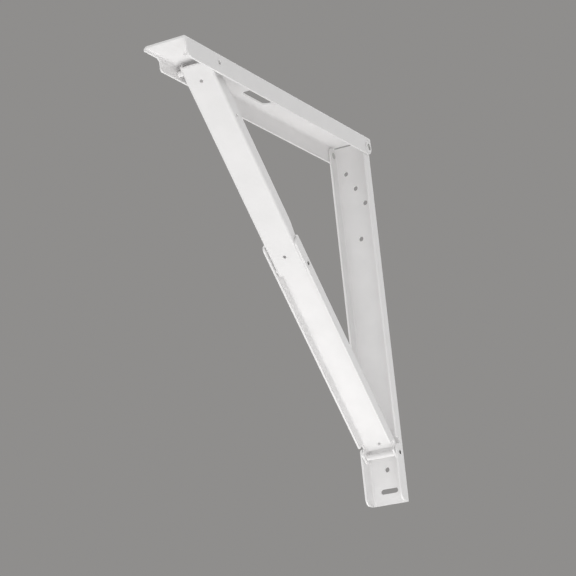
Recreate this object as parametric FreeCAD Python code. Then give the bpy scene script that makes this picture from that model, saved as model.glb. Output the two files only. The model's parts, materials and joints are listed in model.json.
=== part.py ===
"""Folding bracket for a drop leaf table.

A wall rail and a table arm are hinged at the corner and braced by a strut in
two halves with a knee.  All four are folded from sheet steel as channels that
nest in one another: upper strut in lower strut, both in the rail, and the arm
over the rail.

Frame: millimetres, +Z up, wall face of the rail at Y = 0 with the room on the
-Y side, X = 0 on the middle plane, Z = 0 at the height of the corner hinge.
"""
import FreeCAD
import Part
import math
import os

V = FreeCAD.Vector
SAME_POINT = 1e-6           # points closer than this are one point

# Sheet and folds
SHEET = 2.0
WIDE_BEND = 2.0             # inner bend radius of rail and arm
TIGHT_BEND = 1.0            # inner bend radius of the two struts

# Widths: the arm's outside, then the gap on each side as the channels nest
ARM_WIDTH = 47.0
ARM_RAIL_GAP = 0.3
RAIL_STRUT_GAP = 0.5
STRUT_GAP = 0.5

# Pivots in the open position
HINGE_OFF_WALL = 8.5        # corner hinge to the wall
HINGE_DROP = 13.0           # corner hinge below the table face
UPPER_PIVOT_REACH = 332.0   # arm and strut pivot to the wall
UPPER_PIVOT_DROP = 10.5     # arm and strut pivot below the table face
PIVOT_STACK = 12.5          # lower pivot below the upper pivot when folded
OVER_CENTRE = 1.0           # knee beyond the line through its two pivots

# Pivot rivets
RIVET_RADIUS = 3.0
RIVET_BORE_RADIUS = 2.1
RIVET_FLARE = 0.8           # formed end of a rivet beyond its shank
HEAD_RADIUS = 6.0
HEAD_HEIGHT = 1.2
CUP_RADIUS = 3.6            # hollow in the corner rivet's head
CUP_DEPTH = 0.8
PIVOT_CLEARANCE = 0.05      # radial, rivet in hole
NOTCH_CLEARANCE = 0.6       # radial, folded rivet in a flange notch
NOTCH_LIP_RADIUS = 1.5

# Wall rail
RAIL_FLANGE = 15.0
RAIL_TOP = 9.0              # above the corner hinge
RAIL_TOP_RADIUS = 6.5
RAIL_FOOT_LENGTH = 51.0     # below the lower pivot
FOOT_EDGE = 7.5             # lower pivot to the deep foot's front edge
FOOT_RADIUS = 8.0
FOOT_SHOULDER_RADIUS = 4.5

# Table arm
WALL_CLEARANCE = 0.5
ARM_OVERHANG = 59.0         # tip beyond the upper pivot
ARM_TIP_RADIUS = 6.0
TIP_CUT_LENGTH = 27.0       # flange cut away at the tip, left side only
TIP_LIP = 4.5               # what the cut leaves of that flange
TIP_CUT_RADIUS = 5.0
TIP_FLANGE = 16.5           # depth of that flange from the cut to behind the pivot
TIP_FLANGE_RADIUS = 3.0
TIP_STEP_BEHIND = 20.0      # step to the full depth, behind the pivot
TIP_STEP_SLOPE = 12.0       # run of that step
TIP_STEP_RADIUS = 10.0

# Lower strut
LOWER_FLANGE = 13.5
LOWER_LINE = 7.5            # pivot line above the back of the web
LOWER_END = 7.0             # flange beyond the lower pivot
LOWER_WEB_START = 4.0       # web's end above the lower pivot
FORK_LENGTH = 30.0          # flanges beyond the knee
FORK_RADIUS = 4.0
WINDOW_BELOW_KNEE = 6.0
WINDOW_ABOVE_KNEE = 7.0
WINDOW_RADIUS = 2.0

# Upper strut
UPPER_FLANGE = 13.0
NEST_GAP = 0.4              # web of the upper strut to web of the lower, folded
STOP_GAP = 0.1              # upper strut to the bridge that stops the knee, open
UPPER_END = 7.0             # beyond the upper pivot
UPPER_END_RADIUS = 6.5      # flange corner at that end
UPPER_WEB_RADIUS = 2.0      # web corner at that end
KNEE_END = 5.1              # web and flanges beyond the knee
KNEE_END_RADIUS = 4.0
TRIM_RELIEF = 4.0           # trimmed flange beyond the end of the fork
TRIM_SLOPE = 12.0           # run of the step down to the trimmed flange
TRIM_RADIUS = 8.0

# Screw holes and slots
SCREW_RADIUS = 2.75
PILOT_RADIUS = 1.8          # small holes in the struts
RAIL_FAN_START = 21.5       # slanted row of three, below the hinge
RAIL_FAN_DROP = 18.5
RAIL_FAN_STEP = 9.5
RAIL_HOLE_DROP = 97.5       # below the hinge
RAIL_FOOT_HOLE = 14.5       # below the lower pivot
RAIL_SLOT_RISE = 14.0       # above the foot's end
RAIL_SLOT_LENGTH = 20.0
RAIL_SLOT_WIDTH = 5.5
ARM_ROW_START = 38.0        # row of three, from the wall
ARM_ROW_PITCH = 28.5
ARM_HOLE_BEHIND = 42.0      # behind the upper pivot
ARM_HOLE_AHEAD = 21.0       # ahead of the upper pivot
KEYHOLE_START = 170.0       # narrow end, from the wall
KEYHOLE_NECK = 6.0
KEYHOLE_NECK_WIDTH = 6.0
KEYHOLE_LENGTH = 56.0
KEYHOLE_WIDTH = 25.0
KEYHOLE_RADIUS = 6.0
STRUT_END_HOLE = 11.0       # web hole from the strut's outer pivot
STRUT_KNEE_HOLE = 15.0      # web hole from the knee
STRUT_SIDE_HOLE = 56.0      # flange hole from the upper pivot

# Widths that follow from the nesting
RAIL_WIDTH = ARM_WIDTH - 2 * (SHEET + ARM_RAIL_GAP)
LOWER_WIDTH = RAIL_WIDTH - 2 * (SHEET + RAIL_STRUT_GAP)
UPPER_WIDTH = LOWER_WIDTH - 2 * (SHEET + STRUT_GAP)

# Pivot points (Y, Z) and strut lengths
HINGE = (-HINGE_OFF_WALL, 0.0)
UPPER_PIVOT = (-UPPER_PIVOT_REACH, HINGE_DROP - UPPER_PIVOT_DROP)
LEVER = UPPER_PIVOT_REACH - HINGE_OFF_WALL
FOLDED_LINE = HINGE_OFF_WALL + HINGE_DROP - UPPER_PIVOT_DROP
LOWER_PIVOT = (-FOLDED_LINE, -LEVER - PIVOT_STACK)
SPAN_Y = UPPER_PIVOT[0] - LOWER_PIVOT[0]
SPAN_Z = UPPER_PIVOT[1] - LOWER_PIVOT[1]
HALF_SPAN = math.hypot(SPAN_Y, SPAN_Z) / 2
HALF_STACK = PIVOT_STACK / 2
KNEE_SHIFT = HALF_STACK * math.sqrt(1 + OVER_CENTRE**2 / (HALF_SPAN**2 - HALF_STACK**2))
LOWER_LENGTH = math.hypot(HALF_SPAN + KNEE_SHIFT, OVER_CENTRE)
UPPER_LENGTH = LOWER_LENGTH - PIVOT_STACK

# Strut directions in the Y-Z plane, in degrees from +Y towards +Z
SPAN_ANGLE = math.degrees(math.atan2(SPAN_Z, SPAN_Y))
LOWER_TILT = math.degrees(math.asin(OVER_CENTRE / LOWER_LENGTH))
UPPER_TILT = math.degrees(math.asin(OVER_CENTRE / UPPER_LENGTH))
LOWER_ANGLE = SPAN_ANGLE + LOWER_TILT
UPPER_ANGLE = SPAN_ANGLE - UPPER_TILT + 180
KNEE = (
    LOWER_PIVOT[0] + LOWER_LENGTH * math.cos(math.radians(LOWER_ANGLE)),
    LOWER_PIVOT[1] + LOWER_LENGTH * math.sin(math.radians(LOWER_ANGLE)),
)

# Channel depths that follow from the pivots
LUG_RADIUS = HINGE_OFF_WALL - WALL_CLEARANCE
ARM_FLANGE = HINGE_DROP + LUG_RADIUS
RAIL_FOOT_FLANGE = FOLDED_LINE + FOOT_EDGE
UPPER_LINE = LOWER_LINE - SHEET - NEST_GAP
STOP_LEAN = FORK_LENGTH * math.sin(math.radians(LOWER_TILT + UPPER_TILT))
BEND_BITE = max(TIGHT_BEND - STRUT_GAP, 0.0)
STOP_RISE = TIGHT_BEND - math.sqrt(TIGHT_BEND**2 - BEND_BITE**2)
UPPER_TRIM = UPPER_LINE + LOWER_LINE - SHEET - STOP_RISE - STOP_GAP - STOP_LEAN
HOLE_RADIUS = RIVET_RADIUS + PIVOT_CLEARANCE
NOTCH_RADIUS = RIVET_RADIUS + NOTCH_CLEARANCE


def side_point(s, n):
    """Point of a side outline: s along a channel, n up from the back of its web."""
    return V(0, s, n)


def section_point(x, n):
    """Point of a channel's cross section."""
    return V(x, 0, n)


def web_point(x, s):
    """Point on the back of a channel's web."""
    return V(x, s, 0)


def rounded_face(corners, point):
    """Flat face from corners (u, v, radius), laid in space by point(u, v)."""
    edges = []
    joints = []
    for i, (u, v, radius) in enumerate(corners):
        here = V(u, v, 0)
        back = (V(*corners[i - 1][:2], 0) - here).normalize()
        ahead = (V(*corners[(i + 1) % len(corners)][:2], 0) - here).normalize()
        if radius == 0:
            joints.append((here, here, here))
            continue
        half = back.getAngle(ahead) / 2
        reach = radius / math.tan(half)
        middle = here + (back + ahead).normalize() * (radius / math.sin(half) - radius)
        joints.append((here + back * reach, middle, here + ahead * reach))
    for i, (start, middle, end) in enumerate(joints):
        before = joints[i - 1][2]
        if before.distanceToPoint(start) > SAME_POINT:
            edges.append(Part.LineSegment(point(before.x, before.y), point(start.x, start.y)).toShape())
        if start.distanceToPoint(end) > SAME_POINT:
            arc = [point(p.x, p.y) for p in (start, middle, end)]
            edges.append(Part.Arc(*arc).toShape())
    return Part.Face(Part.Wire(edges))


def channel(width, bend, outline):
    """U channel along s: its section swept and trimmed to the side outline."""
    side = rounded_face(outline, side_point)
    box = side.BoundBox
    half = width / 2
    inner = half - SHEET
    section = rounded_face(
        [
            (-half, box.ZMax, 0),
            (-half, 0, bend + SHEET),
            (half, 0, bend + SHEET),
            (half, box.ZMax, 0),
            (inner, box.ZMax, 0),
            (inner, SHEET, bend),
            (-inner, SHEET, bend),
            (-inner, box.ZMax, 0),
        ],
        section_point,
    )
    section.translate(V(0, box.YMin, 0))
    swept = section.extrude(V(0, box.YLength, 0))
    side.translate(V(-half, 0, 0))
    return swept.common(side.extrude(V(width, 0, 0)))


def web_holes(places, radius):
    """Round cutters through a web at (x, s)."""
    return [Part.makeCylinder(radius, 3 * SHEET, V(x, s, -SHEET), V(0, 0, 1)) for x, s in places]


def web_cutout(corners):
    """Cutter through a web for a rounded outline in (x, s)."""
    face = rounded_face(corners, web_point)
    face.translate(V(0, 0, -SHEET))
    return face.extrude(V(0, 0, 3 * SHEET))


def web_clear(width, start, end):
    """Cutter that takes the web away between the flanges, from start to end along s."""
    inner = width / 2 - SHEET
    return Part.makeBox(2 * inner, end - start, 3 * SHEET, V(-inner, start, -SHEET))


def cross_hole(width, s, n, radius):
    """Round cutter across both flanges."""
    return Part.makeCylinder(radius, width + 2 * SHEET, V(-width / 2 - SHEET, s, n), V(1, 0, 0))


def countersinks(width, s, n):
    """Cone cutters for flush rivet ends in the outer faces of both flanges."""
    half = width / 2
    wide = HOLE_RADIUS + RIVET_FLARE
    return [
        Part.makeCone(wide, HOLE_RADIUS, RIVET_FLARE, V(side * half, s, n), V(-side, 0, 0))
        for side in (-1, 1)
    ]


def slot_outline(length, width, s):
    """Round-ended slot across a web, centred at s."""
    x = length / 2
    r = width / 2
    return [(-x, s - r, r), (x, s - r, r), (x, s + r, r), (-x, s + r, r)]


def placed(shape, angle, local, world):
    """Turn a channel so s points at angle in Y-Z, with its (s, n) point at world (Y, Z)."""
    moved = shape.copy()
    moved.translate(V(0, -local[0], -local[1]))
    moved.rotate(V(0, 0, 0), V(1, 0, 0), angle)
    moved.translate(V(0, *world))
    return moved


def wall_rail():
    lower = LOWER_PIVOT[1]
    bottom = lower - RAIL_FOOT_LENGTH
    notch_low = lower + PIVOT_STACK - NOTCH_RADIUS
    notch_high = lower + PIVOT_STACK + NOTCH_RADIUS
    notch_floor = FOLDED_LINE - NOTCH_RADIUS
    rail = channel(
        RAIL_WIDTH,
        WIDE_BEND,
        [
            (bottom, 0, 0),
            (bottom, RAIL_FOOT_FLANGE, FOOT_RADIUS),
            (notch_low, RAIL_FOOT_FLANGE, FOOT_SHOULDER_RADIUS),
            (notch_low, notch_floor, NOTCH_RADIUS),
            (notch_high, notch_floor, NOTCH_RADIUS),
            (notch_high, RAIL_FLANGE, NOTCH_LIP_RADIUS),
            (RAIL_TOP, RAIL_FLANGE, RAIL_TOP_RADIUS),
            (RAIL_TOP, 0, 0),
        ],
    )
    fan = [((i - 1) * RAIL_FAN_STEP, -RAIL_FAN_START - i * RAIL_FAN_DROP) for i in range(3)]
    singles = [(0, -RAIL_HOLE_DROP), (0, lower - RAIL_FOOT_HOLE)]
    slot = slot_outline(RAIL_SLOT_LENGTH, RAIL_SLOT_WIDTH, bottom + RAIL_SLOT_RISE)
    cutters = web_holes(fan + singles, SCREW_RADIUS)
    cutters.append(web_cutout(slot))
    cutters.append(cross_hole(RAIL_WIDTH, HINGE[1], HINGE_OFF_WALL, HOLE_RADIUS))
    cutters.append(cross_hole(RAIL_WIDTH, lower, FOLDED_LINE, HOLE_RADIUS))
    cutters += countersinks(RAIL_WIDTH, lower, FOLDED_LINE)
    return placed(rail.cut(cutters), 90, (0, 0), (0, 0))


def table_arm():
    tip = UPPER_PIVOT_REACH + ARM_OVERHANG
    arm = channel(
        ARM_WIDTH,
        WIDE_BEND,
        [
            (WALL_CLEARANCE, 0, 0),
            (tip, 0, 0),
            (tip, ARM_FLANGE, ARM_TIP_RADIUS),
            (WALL_CLEARANCE, ARM_FLANGE, LUG_RADIUS),
        ],
    )
    step = UPPER_PIVOT_REACH - TIP_STEP_BEHIND
    tip_cut = rounded_face(
        [
            (step - TIP_STEP_SLOPE, ARM_FLANGE, 0),
            (step, TIP_FLANGE, TIP_STEP_RADIUS),
            (tip - TIP_CUT_LENGTH, TIP_FLANGE, TIP_FLANGE_RADIUS),
            (tip - TIP_CUT_LENGTH, TIP_LIP, TIP_CUT_RADIUS),
            (tip, TIP_LIP, 0),
            (tip, ARM_FLANGE, 0),
        ],
        side_point,
    ).extrude(V(-ARM_WIDTH, 0, 0))
    row = [(0, ARM_ROW_START + i * ARM_ROW_PITCH) for i in range(3)]
    front = [(0, UPPER_PIVOT_REACH - ARM_HOLE_BEHIND), (0, UPPER_PIVOT_REACH + ARM_HOLE_AHEAD)]
    neck = KEYHOLE_NECK_WIDTH / 2
    half = KEYHOLE_WIDTH / 2
    shoulder = KEYHOLE_START + KEYHOLE_NECK
    end = KEYHOLE_START + KEYHOLE_LENGTH
    keyhole = web_cutout(
        [
            (-neck, KEYHOLE_START, neck),
            (neck, KEYHOLE_START, neck),
            (neck, shoulder, 0),
            (half, shoulder, KEYHOLE_RADIUS),
            (half, end, KEYHOLE_RADIUS),
            (-half, end, KEYHOLE_RADIUS),
            (-half, shoulder, KEYHOLE_RADIUS),
            (-neck, shoulder, 0),
        ]
    )
    cutters = web_holes(row + front, SCREW_RADIUS)
    cutters += [tip_cut, keyhole]
    cutters.append(cross_hole(ARM_WIDTH, HINGE_OFF_WALL, HINGE_DROP, HOLE_RADIUS))
    cutters.append(cross_hole(ARM_WIDTH, UPPER_PIVOT_REACH, UPPER_PIVOT_DROP, HOLE_RADIUS))
    cutters += countersinks(ARM_WIDTH, UPPER_PIVOT_REACH, UPPER_PIVOT_DROP)
    return placed(arm.cut(cutters), 180, (0, 0), (0, HINGE_DROP))


def lower_strut():
    knee = LOWER_LENGTH
    end_radius = LOWER_FLANGE / 2
    notch_floor = LOWER_LINE - NOTCH_RADIUS
    strut = channel(
        LOWER_WIDTH,
        TIGHT_BEND,
        [
            (-LOWER_END, 0, end_radius),
            (knee + FORK_LENGTH, 0, 0),
            (knee + FORK_LENGTH, LOWER_FLANGE, FORK_RADIUS),
            (PIVOT_STACK + NOTCH_RADIUS, LOWER_FLANGE, NOTCH_LIP_RADIUS),
            (PIVOT_STACK + NOTCH_RADIUS, notch_floor, NOTCH_RADIUS),
            (PIVOT_STACK - NOTCH_RADIUS, notch_floor, NOTCH_RADIUS),
            (PIVOT_STACK - NOTCH_RADIUS, LOWER_FLANGE, NOTCH_LIP_RADIUS),
            (-LOWER_END, LOWER_FLANGE, end_radius),
        ],
    )
    inner = LOWER_WIDTH / 2 - SHEET
    window = web_cutout(
        [
            (-inner, knee - WINDOW_BELOW_KNEE, WINDOW_RADIUS),
            (inner, knee - WINDOW_BELOW_KNEE, WINDOW_RADIUS),
            (inner, knee + WINDOW_ABOVE_KNEE, WINDOW_RADIUS),
            (-inner, knee + WINDOW_ABOVE_KNEE, WINDOW_RADIUS),
        ]
    )
    cutters = web_holes([(0, STRUT_END_HOLE)], PILOT_RADIUS)
    cutters += [window, web_clear(LOWER_WIDTH, -LOWER_END, LOWER_WEB_START)]
    cutters += [cross_hole(LOWER_WIDTH, s, LOWER_LINE, HOLE_RADIUS) for s in (0, knee)]
    cutters += countersinks(LOWER_WIDTH, knee, LOWER_LINE)
    return placed(strut.cut(cutters), LOWER_ANGLE, (0, LOWER_LINE), LOWER_PIVOT)


def upper_strut():
    knee = UPPER_LENGTH
    trim_end = knee - FORK_LENGTH - TRIM_RELIEF
    strut = channel(
        UPPER_WIDTH,
        TIGHT_BEND,
        [
            (-UPPER_END, 0, UPPER_WEB_RADIUS),
            (knee + KNEE_END, 0, 0),
            (knee + KNEE_END, UPPER_TRIM, KNEE_END_RADIUS),
            (trim_end, UPPER_TRIM, TRIM_RADIUS),
            (trim_end - TRIM_SLOPE, UPPER_FLANGE, TRIM_RADIUS),
            (-UPPER_END, UPPER_FLANGE, UPPER_END_RADIUS),
        ],
    )
    cutters = web_holes([(0, STRUT_END_HOLE), (0, knee - STRUT_KNEE_HOLE)], PILOT_RADIUS)
    cutters.append(cross_hole(UPPER_WIDTH, STRUT_SIDE_HOLE, UPPER_LINE, PILOT_RADIUS))
    cutters += [cross_hole(UPPER_WIDTH, s, UPPER_LINE, HOLE_RADIUS) for s in (0, knee)]
    return placed(strut.cut(cutters), UPPER_ANGLE, (0, UPPER_LINE), UPPER_PIVOT)


def turned(profile, pivot):
    """Solid turned about the X axis from (x, radius) points, moved to a pivot."""
    points = [V(x, 0, radius) for x, radius in profile + profile[:1]]
    solid = Part.Face(Part.makePolygon(points)).revolve(V(0, 0, 0), V(1, 0, 0), 360)
    solid.translate(V(0, *pivot))
    return solid


def hinge_stubs():
    """Shanks of the two corner rivets, one in each rail flange, formed over on its inside."""
    outside = RAIL_WIDTH / 2
    inside = outside - SHEET
    formed = inside - RIVET_FLARE
    profile = [
        (formed, 0),
        (formed, RIVET_RADIUS + RIVET_FLARE),
        (inside, RIVET_RADIUS + RIVET_FLARE),
        (inside, RIVET_RADIUS),
        (outside, RIVET_RADIUS),
        (outside, 0),
    ]
    stubs = [turned([(side * x, radius) for x, radius in profile], HINGE) for side in (-1, 1)]
    return Part.makeCompound(stubs)


def flush_rivet(width, pivot):
    """Hollow rivet whose flared ends lie flush in a channel's outer faces."""
    half = width / 2
    shank = half - RIVET_FLARE
    flared = RIVET_RADIUS + RIVET_FLARE
    return turned(
        [
            (-half, RIVET_BORE_RADIUS),
            (-half, flared),
            (-shank, RIVET_RADIUS),
            (shank, RIVET_RADIUS),
            (half, flared),
            (half, RIVET_BORE_RADIUS),
        ],
        pivot,
    )


def hinge_cap(side):
    """Cupped head of a corner rivet, in one flange of the arm."""
    outside = ARM_WIDTH / 2
    inside = outside - SHEET
    top = outside + HEAD_HEIGHT
    profile = [
        (inside, 0),
        (inside, RIVET_RADIUS),
        (outside, RIVET_RADIUS),
        (outside, HEAD_RADIUS),
        (top, HEAD_RADIUS),
        (top, CUP_RADIUS),
        (top - CUP_DEPTH, CUP_RADIUS),
        (top - CUP_DEPTH, 0),
    ]
    return turned([(side * x, radius) for x, radius in profile], HINGE)


NODES = {
    "wall_rail": wall_rail(),
    "table_arm": table_arm(),
    "lower_strut": lower_strut(),
    "upper_strut": upper_strut(),
    "corner_hinge_rivet": hinge_stubs(),
    "corner_cap_left": hinge_cap(-1),
    "corner_cap_right": hinge_cap(1),
    "lower_pivot_rivet": flush_rivet(RAIL_WIDTH, LOWER_PIVOT),
    "knee_rivet": flush_rivet(LOWER_WIDTH, KNEE),
    "upper_pivot_rivet": flush_rivet(ARM_WIDTH, UPPER_PIVOT),
}

os.makedirs("parts", exist_ok=True)
for name, shape in NODES.items():
    shape.exportStep("parts/" + name + ".step")
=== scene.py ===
import bpy
import json
import math
from mathutils import Matrix, Vector

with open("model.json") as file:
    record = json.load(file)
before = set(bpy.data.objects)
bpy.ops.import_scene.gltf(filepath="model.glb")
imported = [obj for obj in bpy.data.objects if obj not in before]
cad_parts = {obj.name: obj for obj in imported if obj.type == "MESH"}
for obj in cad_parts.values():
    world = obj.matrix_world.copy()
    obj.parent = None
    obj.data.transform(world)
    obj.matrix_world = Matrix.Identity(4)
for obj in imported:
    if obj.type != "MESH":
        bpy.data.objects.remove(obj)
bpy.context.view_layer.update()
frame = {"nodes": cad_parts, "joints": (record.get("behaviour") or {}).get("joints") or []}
nodes = frame["nodes"]
scene = bpy.context.scene

# Pivots of the record's joints, and the corner hinge
PIVOT = {joint["name"]: joint["pos_m"] for joint in frame["joints"]}
PIVOT["corner"] = [0.0, -0.0085, 0.0]

# Sheet channels and the rivets on each pivot
CHANNELS = ("wall_rail", "table_arm", "lower_strut", "upper_strut")
RIVETS = {
    "corner_hinge_rivet": "corner",
    "corner_cap_left": "corner",
    "corner_cap_right": "corner",
    "lower_pivot_rivet": "strut_fold",
    "knee_rivet": "knee_fold",
    "upper_pivot_rivet": "arm_fold",
}

EDGE_WIDTH = 0.00032        # coat rounds the sheet's cut edges by this much
RIVET_EDGE_WIDTH = 0.00022

# Coat: linear colours and roughness
COAT_DARK = (0.841, 0.834, 0.832, 1)
COAT_LIGHT = (0.880, 0.872, 0.871, 1)
COAT_GLOSS = (0.42, 0.52)
RIVET_COAT = (0.846, 0.838, 0.836, 1)

# Ragged rim of the painted shade in a rivet's bore or cup, drawn like chipped coat
RIM_RAGGED_DEPTH = 0.0002
SHADE_RIM_START = 0.00016
SHADE_RIM_END = 0.00026

# Bare steel in the bore or cup of each pivot's rivets, its tone set darker as painted
# shade: radius (0 keeps the coat whole), and tone
RECESS_SHADE = {
    "corner": (0.0036, 0.62),
    "strut_fold": (0.0021, 0.45),
    "knee_fold": (0.0021, 0.70),
    "arm_fold": (0.0, 0.70),
}


def node(tree, kind, **values):
    """New shader node; values go to its named inputs, or else to its properties."""
    made = tree.nodes.new(kind)
    for name, value in values.items():
        label = name.replace("_", " ").title()
        if label in made.inputs:
            made.inputs[label].default_value = value
        else:
            setattr(made, name, value)
    return made


def new_material(name):
    material = bpy.data.materials.new(name)
    material.use_nodes = True
    tree = material.node_tree
    shader = tree.nodes["Principled BSDF"]
    return material, tree, shader


def powder_coat(name):
    """White satin powder coat: orange peel, fine grain and a little cloudiness."""
    material, tree, shader = new_material(name)
    link = tree.links.new
    place = node(tree, "ShaderNodeTexCoord").outputs["Object"]

    cloud = node(tree, "ShaderNodeTexNoise", scale=38.0, detail=3.0, roughness=0.55)
    link(place, cloud.inputs["Vector"])
    tone = node(tree, "ShaderNodeValToRGB")
    tone.color_ramp.elements[0].position = 0.30
    tone.color_ramp.elements[0].color = COAT_DARK
    tone.color_ramp.elements[1].position = 0.70
    tone.color_ramp.elements[1].color = COAT_LIGHT
    link(cloud.outputs["Fac"], tone.inputs["Fac"])
    link(tone.outputs["Color"], shader.inputs["Base Color"])

    gloss = node(tree, "ShaderNodeMapRange", from_min=0.3, from_max=0.7)
    gloss.inputs["To Min"].default_value, gloss.inputs["To Max"].default_value = COAT_GLOSS
    link(cloud.outputs["Fac"], gloss.inputs["Value"])
    link(gloss.outputs["Result"], shader.inputs["Roughness"])

    peel = node(tree, "ShaderNodeTexNoise", scale=420.0, detail=1.0, roughness=0.4)
    link(place, peel.inputs["Vector"])
    grain = node(tree, "ShaderNodeTexNoise", scale=2600.0, detail=2.0)
    link(place, grain.inputs["Vector"])
    fine = node(tree, "ShaderNodeBump", strength=0.25, distance=0.000012)
    link(grain.outputs["Fac"], fine.inputs["Height"])
    bump = node(tree, "ShaderNodeBump", strength=0.22, distance=0.00004)
    link(peel.outputs["Fac"], bump.inputs["Height"])
    link(fine.outputs["Normal"], bump.inputs["Normal"])
    link(bump.outputs["Normal"], shader.inputs["Normal"])
    shader.inputs["Specular IOR Level"].default_value = 0.45
    return material


def rivet_coat(name, pivot, edge, recess_tone):
    """Thin white coat on a rivet, with bare steel of a given tone inside the radius edge,
    toned darker as painted shade in the bore or cup.
    """
    material, tree, shader = new_material(name)
    link = tree.links.new
    place = node(tree, "ShaderNodeTexCoord").outputs["Object"]
    centred = node(tree, "ShaderNodeVectorMath", operation="SUBTRACT")
    centred.inputs[1].default_value = pivot
    link(place, centred.inputs[0])
    across = node(tree, "ShaderNodeVectorMath", operation="MULTIPLY")
    across.inputs[1].default_value = (0.0, 1.0, 1.0)
    link(centred.outputs["Vector"], across.inputs[0])
    radius = node(tree, "ShaderNodeVectorMath", operation="LENGTH")
    link(across.outputs["Vector"], radius.inputs[0])

    ragged_noise = node(tree, "ShaderNodeTexNoise", scale=900.0, detail=3.0)
    link(place, ragged_noise.inputs["Vector"])
    ragged = node(tree, "ShaderNodeMath", operation="MULTIPLY_ADD")
    link(ragged_noise.outputs["Fac"], ragged.inputs[0])
    ragged.inputs[1].default_value = RIM_RAGGED_DEPTH
    link(radius.outputs["Value"], ragged.inputs[2])
    # Painted shade: inside the radius edge the coat turns to darker steel, which fills the
    # bore or cup and has a ragged rim
    shaded_recess = node(
        tree, "ShaderNodeMapRange",
        from_min=edge + SHADE_RIM_START, from_max=edge + SHADE_RIM_END, to_min=1.0, to_max=0.0,
    )
    link(ragged.outputs["Value"], shaded_recess.inputs["Value"])

    tone = node(tree, "ShaderNodeMix", data_type="RGBA")
    tone.inputs["A"].default_value = RIVET_COAT
    tone.inputs["B"].default_value = (recess_tone, recess_tone, 0.98 * recess_tone, 1)
    link(shaded_recess.outputs["Result"], tone.inputs["Factor"])
    link(tone.outputs["Result"], shader.inputs["Base Color"])
    gloss = node(tree, "ShaderNodeMapRange", to_min=0.38, to_max=0.55)
    link(shaded_recess.outputs["Result"], gloss.inputs["Value"])
    link(gloss.outputs["Result"], shader.inputs["Roughness"])
    shine = node(tree, "ShaderNodeMapRange", to_min=0.0, to_max=0.8)
    link(shaded_recess.outputs["Result"], shine.inputs["Value"])
    link(shine.outputs["Result"], shader.inputs["Metallic"])
    bump = node(tree, "ShaderNodeBump", strength=0.3, distance=0.00004)
    link(ragged_noise.outputs["Fac"], bump.inputs["Height"])
    link(bump.outputs["Normal"], shader.inputs["Normal"])
    return material


def soften(piece, width):
    """Rounds the cut edges of a solid, as a coat or a tumbled edge does."""
    weld = piece.modifiers.new("weld", "WELD")
    weld.merge_threshold = 0.000002
    flat = piece.modifiers.new("flat", "DECIMATE")
    flat.decimate_type = "DISSOLVE"
    flat.angle_limit = math.radians(0.5)
    edge = piece.modifiers.new("edge", "BEVEL")
    edge.width = width
    edge.segments = 2
    edge.limit_method = "ANGLE"
    edge.angle_limit = math.radians(40)
    edge.harden_normals = False
    shade = piece.modifiers.new("shade", "WEIGHTED_NORMAL")
    shade.weight = 100
    shade.keep_sharp = False


def wear(piece, material):
    piece.data.materials.clear()
    piece.data.materials.append(material)


coat = powder_coat("white_powder_coat")
for name in CHANNELS:
    wear(nodes[name], coat)
    soften(nodes[name], EDGE_WIDTH)

# Each pivot's rivet coat, with painted shade in its bores or cup
rivet_coats = {key: rivet_coat("coat_" + key, PIVOT[key], *shaded_recess) for key, shaded_recess in RECESS_SHADE.items()}
for name, key in RIVETS.items():
    wear(nodes[name], rivet_coats[key])
    soften(nodes[name], RIVET_EDGE_WIDTH)

# Floor, wide enough to meet the backdrop at the horizon
FLOOR = -1.9
REACH = 60.0
FLOOR_COLOUR = (0.468, 0.462, 0.455, 1)
corners = [(x * REACH, y * REACH, FLOOR) for x, y in ((-1, -1), (1, -1), (1, 1), (-1, 1))]
mesh = bpy.data.meshes.new("floor")
mesh.from_pydata(corners, [], [(0, 1, 2, 3)])
floor = bpy.data.objects.new("floor", mesh)
scene.collection.objects.link(floor)
pale, tree, shader = new_material("pale_floor")
shader.inputs["Base Color"].default_value = FLOOR_COLOUR
shader.inputs["Roughness"].default_value = 0.85
floor.data.materials.append(pale)

# World: soft light all round, and a plain grey backdrop for what the camera sees
AMBIENT = 0.63
BACKDROP = 0.275
world = bpy.data.worlds.new("studio")
scene.world = world
world.use_nodes = True
tree = world.node_tree
light = tree.nodes["Background"]
light.inputs["Color"].default_value = (1.0, 1.0, 1.0, 1)
light.inputs["Strength"].default_value = AMBIENT
seen = node(tree, "ShaderNodeBackground")
seen.inputs["Color"].default_value = (BACKDROP, BACKDROP * 0.98, BACKDROP * 0.96, 1)
path = node(tree, "ShaderNodeLightPath")
glossy = node(tree, "ShaderNodeMath", operation="MAXIMUM")
tree.links.new(path.outputs["Is Camera Ray"], glossy.inputs[0])
tree.links.new(path.outputs["Is Glossy Ray"], glossy.inputs[1])
through = node(tree, "ShaderNodeMath", operation="MAXIMUM")
tree.links.new(glossy.outputs["Value"], through.inputs[0])
tree.links.new(path.outputs["Is Transmission Ray"], through.inputs[1])
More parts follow.
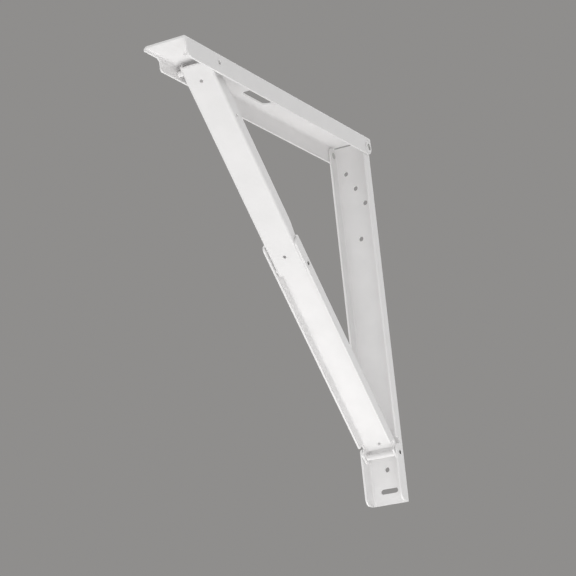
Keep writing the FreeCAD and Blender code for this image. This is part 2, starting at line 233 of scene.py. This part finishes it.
either = node(tree, "ShaderNodeMixShader")
tree.links.new(through.outputs["Value"], either.inputs["Fac"])
tree.links.new(light.outputs["Background"], either.inputs[1])
tree.links.new(seen.outputs["Background"], either.inputs[2])
tree.links.new(either.outputs["Shader"], tree.nodes["World Output"].inputs["Surface"])

# Middle of the bracket, which the lamps and the camera face
CENTRE = Vector((0.0, -0.190, -0.187))

# Soft boxes: place, width, watts
LAMPS = {
    "under": ((0.35, -1.1, -1.15), 1.6, 9.0),
    "deep": ((0.1, -0.2, -1.5), 1.6, 9.4),
    "top": ((-0.8, -0.6, 2.0), 3.2, 24.0),
    "back": ((0.5, 2.4, 0.5), 3.2, 26.0),
    "left": ((-2.3, 0.4, 0.2), 3.0, 24.0),
}


def lamp(name, place, size, watts):
    """Square soft box aimed at the bracket, unseen by the camera."""
    data = bpy.data.lights.new(name, "AREA")
    data.shape = "SQUARE"
    data.size = size
    data.energy = watts
    made = bpy.data.objects.new(name, data)
    made.location = place
    made.rotation_mode = "QUATERNION"
    made.rotation_quaternion = (CENTRE - Vector(place)).to_track_quat("-Z", "Y")
    made.visible_camera = False
    scene.collection.objects.link(made)


for name, (place, size, watts) in LAMPS.items():
    lamp(name, place, size, watts)

# Camera: the photograph's place and tilt, turned to the bracket
LENS = 122.0
EYE = Vector((0.832, -1.858, -0.667))
PHOTO_RIGHT = Vector((0.8012, 0.5957, -0.0577))
PHOTO_UP = Vector((0.2086, -0.1876, 0.9598))
PHOTO_AHEAD = Vector((-0.5609, 0.7810, 0.2746))
turn = PHOTO_AHEAD.rotation_difference(CENTRE - EYE)
basis = Matrix((PHOTO_RIGHT, PHOTO_UP, -PHOTO_AHEAD)).transposed()
camera = bpy.data.objects.new("camera", bpy.data.cameras.new("camera"))
camera.data.lens = LENS
camera.data.sensor_width = 36.0
camera.rotation_mode = "QUATERNION"
camera.location = EYE
camera.rotation_quaternion = turn @ basis.to_quaternion()
scene.collection.objects.link(camera)
scene.camera = camera

scene.view_settings.view_transform = "Standard"
